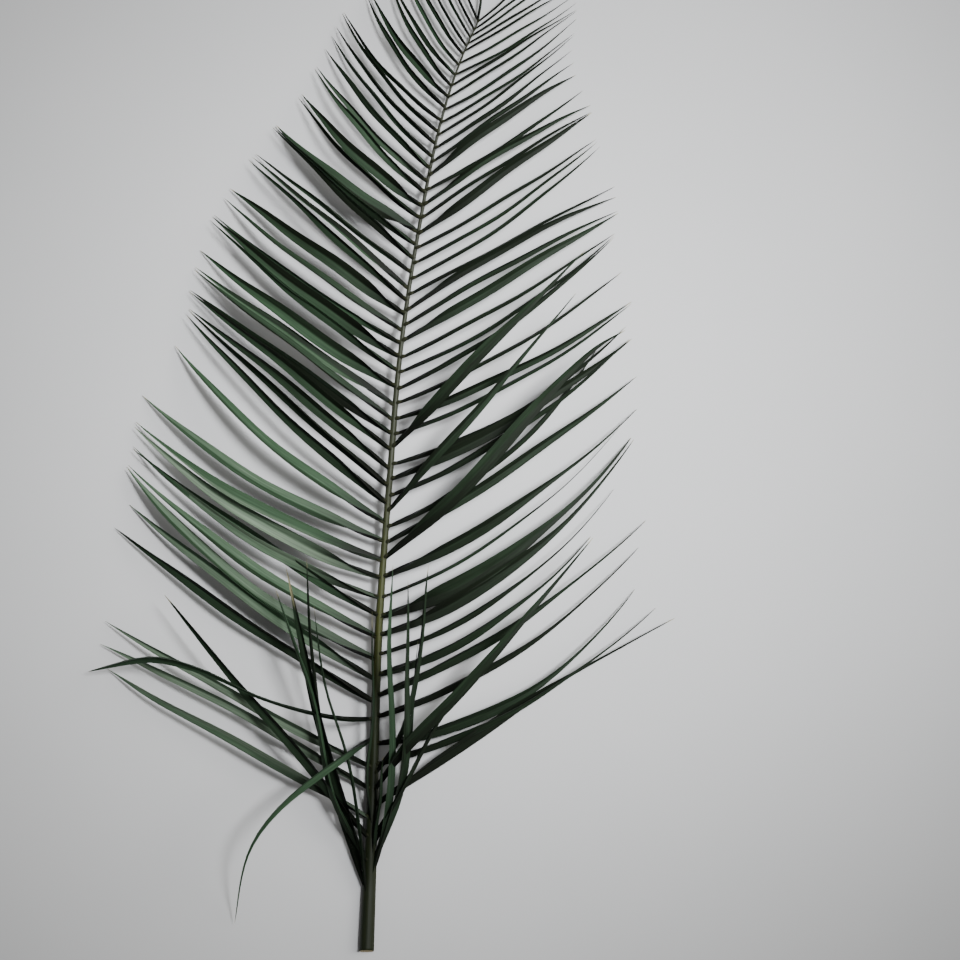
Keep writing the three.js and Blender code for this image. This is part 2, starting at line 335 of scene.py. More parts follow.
RIGHT_ROW = Row(
    name="right_leaflets",
    side=1,
    seed=37,
    roots=(
        (1, 420), (5, 390), (10, 331), (15, 264), (20, 191), (25, 113), (30, 35), (35, -40), (40, -119),
        (45, -215), (48, -278), (50, -304), (51, -326), (52, -368),
    ),
    tips=(
        (1, 163, 485), (4, 193, 465), (7, 196, 440), (10, 196, 424), (13, 191, 392), (15, 195, 367),
        (17, 210, 337), (19, 211, 327), (21, 216, 299), (23, 234, 255), (26, 238, 224), (29, 231, 196),
        (31, 252, 143), (34, 245, 114), (35, 256, 103), (38, 218, 95), (39, 256, 64), (41, 256, 31),
        (42, 238, 12), (44, 256, -2), (46, 210, -97), (47, 265, -81), (48, 258, -108), (50, 254, -150),
        (51, 275, -169), (52, 294, -179),
    ),
    bows=(
        (1, 3), (5, 1), (7, 5), (8, 0), (10, 6), (13, 4), (15, -4), (16, 5), (17, -5), (19, 0), (21, 8),
        (22, 9), (24, -8), (26, 0), (28, 12), (31, 10), (34, 18), (35, 10), (38, 22), (39, 6), (41, 14),
        (43, 24), (44, 26), (46, 18), (47, 14), (48, 20), (50, 32), (51, 18), (52, -9),
    ),
    groups=((8, 9), (11, 12), (18, 19), (20, 22), (25, 26), (27, 29), (31, 32), (35, 36), (43, 44)),
    habits="eeeeeeeheh" + "eehhbhoebe" + "eeeohbeehe" + "oe-hbh-ho-" + "oewbhhhh-o" + "ho",
    tones="dddddddddd" + "dddddddddd" + "dddddddddd" + "dd-ddd-dd-" + "dddddddd-d" + "dd",
    breadth=(
        (1, 0.7), (14, 0.64), (21, 0.66), (30, 0.78), (40, 0.95), (41, 1.25), (42, 0.6), (43, 1.08),
        (44, 1.08), (45, 0.85), (46, 1.45), (47, 1.35), (48, 1.2), (52, 1.2),
    ),
    outlines=((1, TAILED), (14, TAPERED), (41, LONG_TAILED)),
    # The whole row is drawn darker, tones all dark and lightness halved: painted shade on the side away from
    # the light.
    lightness=0.5,
    contrast=((1, 0.12), (40, 0.08), (52, 0.03)),
    closed=((1, 0.3), (52, 0.3)),
)
LOOSE = (
    Loose("end", Habit.EDGE, 419, ((99, 440, 10), (103, 497, 9)), scale=0.4),
    Loose(
        "first_crossing", Habit.BROAD, -8, ((65, 49, 66), (140, 124, 80), (202, 186, 72)),
        breadth=0.85, outline=TAILED,
    ),
    Loose(
        "second_crossing", Habit.OPEN, -72, ((59, -11, 64), (127, 65, 76), (193, 144, 64)),
        breadth=0.85, outline=TAILED,
    ),
    Loose(
        "third_crossing", Habit.BROAD, -119, ((69, -60, 62), (118, -8, 72), (211, 89, 66), (242, 108, 58)),
    ),
    Loose(
        "long_diagonal", Habit.BROAD, -352,
        ((22, -309, 46), (80, -246, 68), (132, -189, 76), (210, -97, 62)),
        breadth=0.85, outline=TAILED,
    ),
    Loose("thin_diagonal", Habit.EDGE, -400, ((18, -355, 32), (56, -282, 46), (118, -210, 50)), scale=0.8),
    Loose(
        "level", Habit.EDGE, -280,
        ((-41, -276, 52), (-117, -255, 68), (-179, -228, 64), (-225, -217, 50), (-294, -232, 16)),
        outline=HIPPED, tone="m", closed=0.6,
    ),
    Loose(
        "drooping", Habit.HALF, -299, ((-37, -314, 66), (-102, -366, 86), (-129, -404, 68), (-148, -485, 6)),
        breadth=1.1, outline=LONG_TAILED, tone="m",
    ),
    Loose(
        "low_left", Habit.OPEN, -380, ((-47, -357, 20), (-110, -320, 30), (-225, -259, 20), (-276, -230, 3)),
        outline=STRAP, tone="l", closed=0.5,
    ),
    Loose(
        "left_rising", Habit.HALF, -400,
        ((-48, -355, 32), (-102, -286, 50), (-175, -202, 50), (-215, -154, 42)),
        breadth=1.3, outline=STRAP, dry=0.6,
    ),
    Loose(
        "left_upright", Habit.HALF, -440,
        ((-37, -364, 26), (-60, -282, 56), (-71, -221, 76), (-91, -125, 96)),
        breadth=1.5, dry=1.0,
    ),
    Loose(
        "left_slim", Habit.EDGE, -425, ((-45, -362, 34), (-68, -251, 68), (-102, -146, 86)),
        breadth=1.15, tone="g", dry=0.5,
    ),
    Loose(
        "left_inner", Habit.EDGE, -460, ((-30, -328, 44), (-54, -244, 72), (-64, -163, 92)),
        scale=0.6, tone="m", dry=0.5,
    ),
    Loose("left_outer", Habit.EDGE, -455, ((-46, -360, 16), (-68, -220, 52), (-72, -117, 74)), dry=0.2),
    Loose(
        "middle_thin", Habit.EDGE, -395, ((-14, -340, 26), (-8, -270, 44), (-8, -170, 62)),
        scale=0.5, dry=0.8,
    ),
    Loose(
        "right_light", Habit.HALF, -440, ((8, -360, 28), (9, -200, 62), (13, -123, 78)),
        tone="m", dry=0.3,
    ),
    Loose("right_dark", Habit.HALF, -430, ((16, -358, 26), (25, -299, 50), (27, -225, 70), (28, -139, 88))),
    Loose("right_slim", Habit.EDGE, -336, ((16, -300, 30), (32, -255, 42), (48, -124, 72)), dry=0.5),
    Loose("right_short", Habit.EDGE, -410, ((22, -340, 15), (31, -270, 30), (37, -200, 44)), scale=0.6),
    Loose("dark_stub", Habit.EDGE, -420, ((-3, -370, 24), (2, -316, 36)), scale=0.8),
)


def linear(code: str) -> tuple[float, float, float, float]:
    """An sRGB hex colour as the linear colour that a shader takes.

    Args:
        code: six hex digits after a hash sign.

    Returns:
        Red, green, blue and an alpha of 1.
    """
    parts = [int(code[k : k + 2], 16) / 255.0 for k in (1, 3, 5)]
    red, green, blue = (p / 12.92 if p <= 0.04045 else ((p + 0.055) / 1.055) ** 2.4 for p in parts)
    return red, green, blue, 1.0


def add_node(tree: NodeTree, kind: str, inputs: Optional[dict] = None, **settings: Any) -> Any:
    """Adds one node to a shader or geometry tree.

    Args:
        tree: the tree that gets the node.
        kind: the node's type name.
        inputs: what each input takes, by its number or name: a node, for its first output, an output
            socket or a plain value.
        settings: the node's own properties.

    Returns:
        The new node.
    """
    node = tree.nodes.new(kind)
    for name, value in settings.items():
        setattr(node, name, value)
    for key, value in (inputs or {}).items():
        if isinstance(value, bpy.types.Node):
            value = value.outputs[0]
        if isinstance(value, bpy.types.NodeSocket):
            tree.links.new(value, node.inputs[key])
        else:
            node.inputs[key].default_value = value
    return node


def set_stops(ramp: Any, stops: dict[float, str]) -> None:
    """Gives a colour ramp its stops.

    Args:
        ramp: the ramp's node.
        stops: hex colours by their place on the ramp, in rising order.
    """
    elements = ramp.color_ramp.elements
    elements.remove(elements[1])
    for k, (place, colour) in enumerate(stops.items()):
        stop = elements.new(place) if k else elements[0]
        stop.position = place
        stop.color = linear(colour)


class Finish:
    """A procedural material: each kind says what its shader takes."""

    name: str

    def sockets(self, add: Adder) -> Sockets:
        """What the shader's sockets take, by name.

        Args:
            add: adds a node to the material's tree, as add_node does.

        Returns:
            Nodes, sockets and plain values by the shader's names.
        """
        raise NotImplementedError

    def build(self) -> Material:
        """The material, with its principled shader."""
        material = bpy.data.materials.new(self.name)
        material.use_nodes = True
        tree = material.node_tree
        tree.nodes.clear()
        add = partial(add_node, tree)
        add("ShaderNodeOutputMaterial", {"Surface": add("ShaderNodeBsdfPrincipled", self.sockets(add))})
        return material


@dataclass(frozen=True)
class PreservedLeaflet(Finish):
    """Palm leaflet kept in glycerine: dark green, leathery and waxy.

    The surface is a natural cuticle, so the eye sees a soft, broad sheen and fine veins along the blade. The
    lighter leaflets run to a paler, greyer colour that is painted sheen, the low furrows of the veins are
    drawn darker as painted shade, and the root goes near-black with painted shade inside the closed fold.
    The real veins are about 1 mm apart, drawn here 1.6 mm apart so that they show.
    """

    name: str = "preserved_leaf_cuticle"
    dark: str = "#0f160c"
    light: str = "#2f4430"
    # The ramp's pale end: painted sheen on the lighter leaflets.
    sheen_grey: str = "#6c7d69"
    # Near-black: painted shade inside the closed fold at the root.
    shut: str = "#080a06"
    dry: str = "#8c8768"
    # Darkens the low furrows of the vein bump: painted shade.
    furrow_shade: str = "#8a8a8a"
    vein_spacing_mm: float = 1.6
    streak_length_mm: float = 90.0
    streak_shares: tuple[float, float, float] = (0.22, 1.6, 1.0)
    streak_lift: float = 0.36
    dry_lift: float = 0.9

    def sockets(self, add: Adder) -> Sockets:
        """What the shader takes, led by the leaflets' tone, dry, painted fold shade and UV attributes."""
        tone, dry, shut = (
            add("ShaderNodeAttribute", attribute_name=name).outputs["Fac"]
            for name in ("tone", "dry", "shut")
        )
        fine = (1.0 / (self.vein_spacing_mm * MM), 1.0 / (self.streak_length_mm * MM), 1.0)
        uv = add("ShaderNodeUVMap", uv_map="UVMap")
        stretch = add("ShaderNodeVectorMath", {0: uv, 1: fine}, operation="MULTIPLY")
        veins = add("ShaderNodeTexNoise", {"Vector": stretch, "Scale": 1.0, "Detail": 2.0})
        wide = add("ShaderNodeVectorMath", {0: stretch, 1: self.streak_shares}, operation="MULTIPLY")
        streaks = add(
            "ShaderNodeTexNoise", {"Vector": wide, "Scale": 1.0, "Detail": 3.0, "Roughness": 0.6}
        )
        lift, dry_lift = (
            add("ShaderNodeMath", {0: streaks, 1: size, 2: -size / 2.0}, operation="MULTIPLY_ADD")
            for size in (self.streak_lift, self.dry_lift)
        )
        level = add("ShaderNodeMath", {0: tone, 1: lift}, operation="ADD", use_clamp=True)
        # Dark to light green, then on to the pale end, which is painted sheen.
        leaf = add("ShaderNodeValToRGB", {"Fac": level})
        set_stops(leaf, {0.0: self.dark, 0.5: self.light, 1.0: self.sheen_grey})
        # The vein furrows are drawn darker: painted shade.
        tint = add("ShaderNodeValToRGB", {"Fac": veins})
        set_stops(tint, {0.35: self.furrow_shade, 0.65: "#ffffff"})
        veined = add("ShaderNodeMix", {0: 0.5, 6: leaf, 7: tint}, data_type="RGBA", blend_type="MULTIPLY")
        dried = add("ShaderNodeMath", {0: dry, 1: dry_lift}, operation="ADD")
        edge = add("ShaderNodeMapRange", {"Value": dried, "From Min": 0.42, "From Max": 0.62})
        colour = veined.outputs[2]
        # The root goes near-black with the painted shade of the closed fold; dry tips go tan.
        for share, shade in ((shut, self.shut), (edge, self.dry)):
            mixed = add("ShaderNodeMix", {0: share, 6: colour, 7: linear(shade)}, data_type="RGBA")
            colour = mixed.outputs[2]
        bump = add("ShaderNodeBump", {"Height": veins, "Strength": 0.35, "Distance": 0.12 * MM})
        return {
            "Base Color": colour, "Normal": bump, "Roughness": 0.62, "IOR": 1.45,
            "Specular IOR Level": 0.11,
        }


@dataclass(frozen=True)
class PalmRachis(Finish):
    """The stem's skin: woody palm rind, olive with darker streaks, green at the foot and greyer at the apex.

    It grew smooth and hard, so it has a dull gloss and fine ribs along it, 0.8 mm apart. One side and a line
    along each side edge are drawn in the colour of the streaks: painted shade.
    """

    name: str = "palm_rachis_rind"
    foot: str = "#10160a"
    low: str = "#1c250f"
    middle: str = "#3a3e1b"
    high: str = "#2b2e21"
    top: str = "#202219"
    # Colour of the darker streaks, and of the painted shade on one side and along the side edges.
    streak_and_shade: str = "#1a1e0a"
    rib_spacing_mm: float = 0.8
    rib_stretch: float = 0.02

    def sockets(self, add: Adder) -> Sockets:
        """What the shader takes, on Object coordinates: the stem runs along Y."""
        place = add("ShaderNodeTexCoord").outputs["Object"]
        parts = add("ShaderNodeSeparateXYZ", {0: place})
        height = add(
            "ShaderNodeMapRange", {"Value": parts.outputs["Y"], "From Min": -0.33, "From Max": 0.3}
        )
        ramp = add("ShaderNodeValToRGB", {"Fac": height})
        stops = {0.0: self.foot, 0.11: self.low, 0.22: self.middle, 0.45: self.high, 1.0: self.top}
        set_stops(ramp, stops)
        scale = 1.0 / (self.rib_spacing_mm * MM)
        fine = add("ShaderNodeMapping", {0: place, "Scale": (scale, scale * self.rib_stretch, scale)})
        ribs = add("ShaderNodeTexNoise", {"Vector": fine, "Scale": 1.0, "Detail": 3.0, "Roughness": 0.6})
        mask = add(
            "ShaderNodeMapRange", {"Value": ribs, "From Min": 0.4, "From Max": 0.68, "To Max": 0.7}
        )
        # Painted shade set per point by the stem: one side and a line along each side edge.
        flank = add("ShaderNodeAttribute", attribute_name="flank").outputs["Fac"]
        share = add("ShaderNodeMath", {0: mask, 1: flank}, operation="MAXIMUM")
        colour = add("ShaderNodeMix", {0: share, 6: ramp, 7: linear(self.streak_and_shade)}, data_type="RGBA")
        bump = add("ShaderNodeBump", {"Height": ribs, "Strength": 0.5, "Distance": 0.2 * MM})
        return {
            "Base Color": colour.outputs[2], "Normal": bump, "Roughness": 0.5, "IOR": 1.47,
            "Specular IOR Level": 0.2,
        }


@dataclass(frozen=True)
class CutPith(Finish):
    """The cut end of the stem: dry straw pith with darker fibre bundles 1.3 mm apart, fibrous and matt."""

    name: str = "cut_palm_pith"
    straw: str = "#a08f63"
    fibre: str = "#4e4426"
    bundle_mm: float = 1.3

    def sockets(self, add: Adder) -> Sockets:
        """What the shader takes: fibre bundles as dots in straw pith."""
        place = add("ShaderNodeTexCoord").outputs["Object"]
        cells = add("ShaderNodeTexVoronoi", {"Vector": place, "Scale": 1.0 / (self.bundle_mm * MM)})
        mask = add("ShaderNodeMapRange", {"Value": cells, "From Min": 0.2, "From Max": 0.45})
        colour = add(
            "ShaderNodeMix", {0: mask, 6: linear(self.fibre), 7: linear(self.straw)}, data_type="RGBA"
        )
        bump = add("ShaderNodeBump", {"Height": cells, "Strength": 0.6, "Distance": 0.3 * MM})
        return {"Base Color": colour.outputs[2], "Normal": bump, "Roughness": 0.85}


@dataclass(frozen=True)
class Mottled(Finish):
    """A dull finish of two near colours, mixed by a noise."""

    name: str
    colour: str
    pale: str
    scale: float
    detail: float
    roughness: float
    specular: float

    def sockets(self, add: Adder) -> Sockets:
        """What the shader takes, on Object coordinates."""
        place = add("ShaderNodeTexCoord").outputs["Object"]
        noise = add("ShaderNodeTexNoise", {"Vector": place, "Scale": self.scale, "Detail": self.detail})
        colour = add(
            "ShaderNodeMix", {0: noise, 6: linear(self.colour), 7: linear(self.pale)}, data_type="RGBA"
        )
        return {
            "Base Color": colour.outputs[2], "Roughness": self.roughness,
            "Specular IOR Level": self.specular,
        }


# The woody cushion where a leaflet joins the stem, dull as bark, with patches 2 mm wide. Its near-black
# olive is painted shade where the folded leaflet bases meet the stem.
SHADED_CUSHION_RIND = Mottled("shaded_leaflet_base_cushion", "#101209", "#212313", 1.0 / (2.0 * MM), 2.0, 0.8, 0.12)
# The pale grey surface that the frond lies on: matt paint, rolled, so it has a faint broad mottle.
PALE_PAINT = Mottled("matt_pale_paint", "#b1b1b1", "#acadad", 6.0, 4.0, 0.9, 0.2)


def add_object(name: str, data: Any) -> Any:
    """A new object at the origin, linked to the scene."""
    made = bpy.data.objects.new(name, data)
    bpy.context.scene.collection.objects.link(made)
    return made


def store(mesh: Mesh, label: str, values: np.ndarray) -> None:
    """Stores a number or a vector at each point of a mesh.

    Args:
        mesh: the mesh.
        label: the attribute's name.
        values: one row or number for each point.
    """
    kind, key = ("FLOAT_VECTOR", "vector") if values.ndim > 1 else ("FLOAT", "value")
    mesh.attributes.new(label, kind, "POINT").data.foreach_set(key, values.ravel())


def mesh_object(name: str, points: np.ndarray, faces: Iterable[Sequence[int]], material: Material) -> Any:
    """A mesh object at the origin, from points in mm.

    Args:
        name: the object's name.
        points: rows of X, Y, Z in mm.
        faces: corner numbers of each face.
        material: its material.

    Returns:
        The linked object.
    """
    mesh = bpy.data.meshes.new(name)
    mesh.from_pydata([tuple(map(float, p * MM)) for p in points], [], [tuple(f) for f in faces])
    mesh.polygons.foreach_set("use_smooth", [True] * len(mesh.polygons))
    mesh.materials.append(material)
    mesh.validate()
    return add_object(name, mesh)


def set_piece(piece: Any) -> None:
    """Puts a piece on the frond's one body, in place of the plain solid."""
    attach(piece, "root")
    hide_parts(NODE)
    LOG.info("%s: %d faces", piece.name, len(piece.data.polygons))


@dataclass(frozen=True)
class Stem:
    """The petiole and rachis, in mm along Y from the cut end to the apex."""

    line: Keys = (
        (-515, -15.5), (-364, -9.5), (-193, -3), (-36, 8.5), (83, 18.5), (200, 35.5), (318, 59), (382, 79.5),
        (422, 97.5),
    )
    widths: Keys = (
        (-515, 15), (-440, 13.5), (-364, 12), (-330, 9.8), (-180, 8), (-120, 6.8), (17, 6.2), (83, 5),
        (160, 4.2), (267, 3.5), (350, 2.6), (422, 1.8),
    )
    clearance: Keys = (
        (-515, 0), (-444, 0), (-364, 5), (-200, 15), (-40, 23), (100, 24), (240, 18), (360, 10), (422, 6),
    )
    depth_share: float = 0.8
    cut_slant: float = 0.3
    sections: int = 220
    sides: int = 32
    ridge: float = 0.07
    ridge_angle: float = 0.3
    groove: float = 0.1
    groove_angle: float = 0.18
    groove_at: float = 0.35
    end_point: Point = (0.6, 1.2, 0.0)
    end_shade: float = 0.4

    def curve(self) -> SmoothCurve:
        """The stem's middle line, seen from above."""
        return SmoothCurve([(x, y, 0.0) for y, x in self.line])

    def section(self, middle: np.ndarray) -> tuple[np.ndarray, float, float]:
        """The stem at a point of its line.

        Args:
            middle: a point of the line, seen from above.

        Returns:
            The middle at its height, half the width and half the depth there.
        """
        half_width = level_at(self.widths, middle[1]) / 2.0
        half_depth = half_width * self.depth_share
        raised = np.array([middle[0], middle[1], level_at(self.clearance, middle[1]) + half_depth])
        return raised, half_width, half_depth

    def at(self, y: float) -> tuple[np.ndarray, float, float]:
        """The stem's section at a place along Y."""
        curve = self.curve()
        ys = np.array([curve.point(t)[1] for t in curve.at])
        return self.section(curve.point(float(np.interp(y, ys, curve.at))))

    def ring(self, middle: np.ndarray, half_width: float, half_depth: float) -> np.ndarray:
        """A rounded section with a low ridge on top and a groove along each side.

        Args:
            middle: its middle.
            half_width: half its size along X.
            half_depth: half its size along Z.

        Returns:
            Its points, anticlockwise from +X as seen from the cut end.
        """
        angle = np.arange(self.sides) / self.sides * 2.0 * math.pi
        swell = 1.0 + self.ridge * np.exp(-(((angle - math.pi / 2.0) / self.ridge_angle) ** 2))
        for side in (self.groove_at, math.pi - self.groove_at):
            swell -= self.groove * np.exp(-(((angle - side) / self.groove_angle) ** 2))
        across = half_width * np.cos(angle) * swell
        up = half_depth * np.sin(angle) * swell
        return np.stack([middle[0] + across, np.full_like(across, middle[1]), middle[2] + up], axis=1)

    def build(self, rind: Material, pith: Material) -> Any:
        """The stem and its cut end.

        Args:
            rind: the skin's material.
            pith: the material of the cut end.

        Returns:
            The object, a mesh at the origin.
        """
        curve = self.curve()
        rings = []
        for k in range(self.sections + 1):
            middle, half_width, half_depth = self.section(curve.point(k / self.sections))
            ring = self.ring(middle, half_width, half_depth)
            if k == 0:
                ring[:, 1] += self.cut_slant * (ring[:, 2] - ring[:, 2].min())
            rings.append(ring)
        tip = rings[-1].mean(axis=0) + np.array(self.end_point)
        points = np.vstack([*rings, tip[None, :]])
        n = self.sides
        faces = [tuple(range(n))]
        for r in range(self.sections):
            for k in range(n):
                a, b = r * n + k, r * n + (k + 1) % n
                faces.append((a, a + n, b + n, b))
        last = self.sections * n
        faces += [(last + k, len(points) - 1, last + (k + 1) % n) for k in range(n)]
        stem = mesh_object("stem", points, faces, rind)
        # Painted shade for the rind, by point: one side, the side edges and the tip.
        store(stem.data, "flank", np.append(np.tile(self._shades(), self.sections + 1), self.end_shade))
        stem.data.materials.append(pith)
        stem.data.polygons[0].material_index = 1
        stem.data.polygons[0].use_smooth = False
        return stem

    def _shades(self) -> np.ndarray:
        """How much painted shade each point of a section gets: one side, and a line along each side edge."""
        angle = (np.arange(self.sides) / self.sides * 2.0 - 0.5) * math.pi
        flank = 0.75 * np.clip(-np.sin(angle - 0.25), 0.0, 1.0) ** 2
        return np.clip(flank + 0.5 * np.abs(np.sin(angle)) ** 12, 0.0, 1.0)


@dataclass(frozen=True)
class Look:
    """How one leaflet is held, how wide it is and how it is coloured."""

    habit: Habit
    scale: float
    breadth: float
    outline: Keys
    seed: float
    # tone is partly the leaflet's own tone and partly painted light and shade; contrast and closed set
    # painted shade on one wing and in the closed fold at the root.
    tone: float
    contrast: float
    dry: float
    closed: float
    facing: int = 1


@dataclass
class Midrib:
    """One leaflet's midrib: rows of numbers, one for each station along it."""

    path: np.ndarray
    across: np.ndarray
    up: np.ndarray
    wing: np.ndarray
    fold: np.ndarray
    run: np.ndarray
    ahead: np.ndarray
    # Painted shade of the closed fold, by station; hand and contrast set the painted light and shade of the
    # wings.
    shut: np.ndarray
    hand: float
    contrast: float
    tone: float
    dry: np.ndarray
    scale: float


class LeafletMaker:
    """Works out midribs by the frond's rule."""

    def __init__(self, stem: Stem) -> None:
        """Keeps the stem that the leaflets grow from."""
        self.stem = stem
        self.stations = 0.5 - 0.5 * np.cos(np.linspace(0.0, math.pi, BLADE.stations))

    def root(self, root_y: float, side: int) -> np.ndarray:
        """Where a leaflet starts: inside the stem, a little to its side and above its middle."""
        middle, half_width, half_depth = self.stem.at(root_y)
        return middle + np.array([side * BLADE.root_sink * half_width, 0.0, BLADE.root_sink * half_depth])

    def row_path(self, row: Row, number: int) -> Callable[[float], np.ndarray]:
        """The path of a leaflet of a row: from root to tip, bowed towards the foot and arched up.

        Args:
            row: the row.
            number: the leaflet's number, counted from the apex.

        Returns:
            A function from a share of the length to a point in mm.
        """
        group = next((g for g in row.groups if g[0] <= number <= g[1]), None)
        rank = number - group[0] if group else 0
        centre = (group[0] + group[1]) / 2.0 if group else number
        tip_x, tip_y = follow(row.tips, centre + (number - centre) * (1.0 - BLADE.gather))
        scale = level_at(BLADE.scales, number)
        shift = (chance(row.seed + number) - 0.5) * BLADE.root_jitter
        root = self.root(level_at(row.roots, number) + shift * scale, row.side)
        spread = BLADE.tip_spread * scale * chance(row.seed * 3 + number)
        tip = np.array([tip_x, tip_y, BLADE.tip_height + BLADE.group_step * rank * scale + spread])
        bow = level_at(row.bows, number)
        arch = level_at(BLADE.arch, number) + (number % 2) * BLADE.plane_step * scale
        aside = unit(np.array([row.side * (tip[1] - root[1]), -row.side * (tip[0] - root[0]), 0.0]))

        def path(t: float) -> np.ndarray:
            """The point at a share of the leaflet's length."""
            swell = 4.0 * t * (1.0 - t)
            return root + (tip - root) * t + aside * swell * bow + np.array([0.0, 0.0, swell * arch])

        return path

    def lean(self, loose: Loose) -> int:
        """The side of the stem that a loose leaflet leans to."""
        return 1 if loose.places[-1][0] > self.stem.at(loose.root_y)[0][0] else -1

    def loose_path(self, loose: Loose) -> Callable[[float], np.ndarray]:
        """The path of a loose leaflet: a smooth curve through its root and its places."""
        root = self.root(loose.root_y, self.lean(loose))
        return SmoothCurve([tuple(root), *loose.places]).even

    def midrib(self, path: Callable[[float], np.ndarray], side: int, look: Look) -> Midrib:
        """One leaflet's midrib with the frame, width and fold of its blade.

        Args:
            path: its path.
            side: -1 on the left of the stem and 1 on the right.
            look: how it is held and coloured.

        Returns:
            The midrib.
        """
        width, habit_roll, habit_fold = look.habit.value
        seed, scale, dry = look.seed, look.scale, look.dry
        t = self.stations
        middle = np.array([path(float(x)) for x in t])
        ahead = unit(np.array([
            path(min(1.0, float(x) + BLADE.lead)) - path(max(0.0, float(x) - BLADE.lead)) for x in t
        ]))
        opening = smooth(t, BLADE.open_at)
        phase = 2.0 * math.pi * chance(seed + 0.5)
        turns = BLADE.twist_turns + chance(seed + 0.7)
        twist = BLADE.twist * np.sin(2.0 * math.pi * turns * t + phase) * smooth(t, 0.5)
        roll = np.radians(BLADE.root_roll + (habit_roll - BLADE.root_roll) * opening + twist)
        fold = np.radians(BLADE.root_fold + (habit_fold - BLADE.root_fold) * opening)
        level = unit(np.cross(ahead, np.array([0.0, 0.0, 1.0])))
        lifted = np.cross(ahead, level)
        turn = (side * look.facing * roll)[:, None]
        across = level * np.cos(turn) + lifted * np.sin(turn)
        up = np.cross(across, ahead)
        taper = np.array([level_at(look.outline, x) for x in t])
        wing = width / 2.0 * scale * look.breadth * taper
        wave = np.sin(2.0 * math.pi * BLADE.wander_turns * t + phase * 2.0)
        sway = BLADE.wander * scale * np.sin(math.pi * t) * wave
        middle = middle + level * sway[:, None] - up * (0.5 * wing * np.sin(fold))[:, None]
        run = np.concatenate([[0.0], np.cumsum(np.linalg.norm(np.diff(middle, axis=0), axis=1))])
        dryness = np.clip((t - (1.0 - BLADE.dry_share * dry)) / BLADE.dry_share, 0.0, 1.0) * dry
        dryness += smooth(t - BLADE.brown_from, 1.0 - BLADE.brown_from) * BLADE.browning
        # Painted near-black shade inside the closed fold, from the root over a share of the length set by
        # closed.
        shut = 1.0 - smooth(t - BLADE.fold_shade_from, look.closed * (0.6 + 0.8 * chance(seed + 0.1)))
        # Which wing is drawn darker and by how much: painted light and shade on the two wings.
        hand = -side * look.facing * (1.0 if chance(seed + 0.3) > BLADE.flipped_share else -1.0)
        contrast = look.contrast * (0.35 + 0.9 * chance(seed + 0.9))
        return Midrib(
            middle, across, up, wing, fold, run, ahead, shut, hand, contrast, look.tone, dryness, scale,
        )

    def row(self, row: Row) -> list[Midrib]:
        """Works out one row of leaflets.

        Args:
            row: the row.

        Returns:
            Its midribs, from the apex down.
        """
        made = []
        for number, (letter, tone) in enumerate(zip(row.habits, row.tones), start=1):
            if letter == "-":
                continue
            scale = level_at(BLADE.scales, number)
            jitter = BLADE.tone_jitter * (chance(row.seed * 7 + number) - 0.5)
            look = Look(
                habit=HABIT_LETTERS[letter], scale=scale, breadth=level_at(row.breadth, number),
                outline=row.outline(number), seed=row.seed * 13.0 + number,
                tone=TONE_LETTERS[tone] * row.lightness + jitter,
                contrast=level_at(row.contrast, number), dry=BLADE.row_dry,
                closed=level_at(row.closed, number), facing=-1 if number in row.turned else 1,
            )
            made.append(self.midrib(self.row_path(row, number), row.side, look))
        return made

    def loose(self, leaflets: Sequence[Loose]) -> list[Midrib]:
        """Works out the loose leaflets.

        Args:
            leaflets: where each leaves the stem and how it runs.

        Returns:
            Their midribs, in the same order.
        """
        made = []
        for seed, leaflet in enumerate(leaflets, start=500):
            side = self.lean(leaflet)
            # Loose leaflets get painted light and shade on their wings too, weaker on the right.
            look = Look(
                habit=leaflet.habit, scale=leaflet.scale, breadth=leaflet.breadth, outline=leaflet.outline,
                seed=float(seed), tone=TONE_LETTERS[leaflet.tone], contrast=0.1 if side > 0 else 0.35,
                dry=leaflet.dry, closed=leaflet.closed,
            )
            made.append(self.midrib(self.loose_path(leaflet), side, look))
        return made


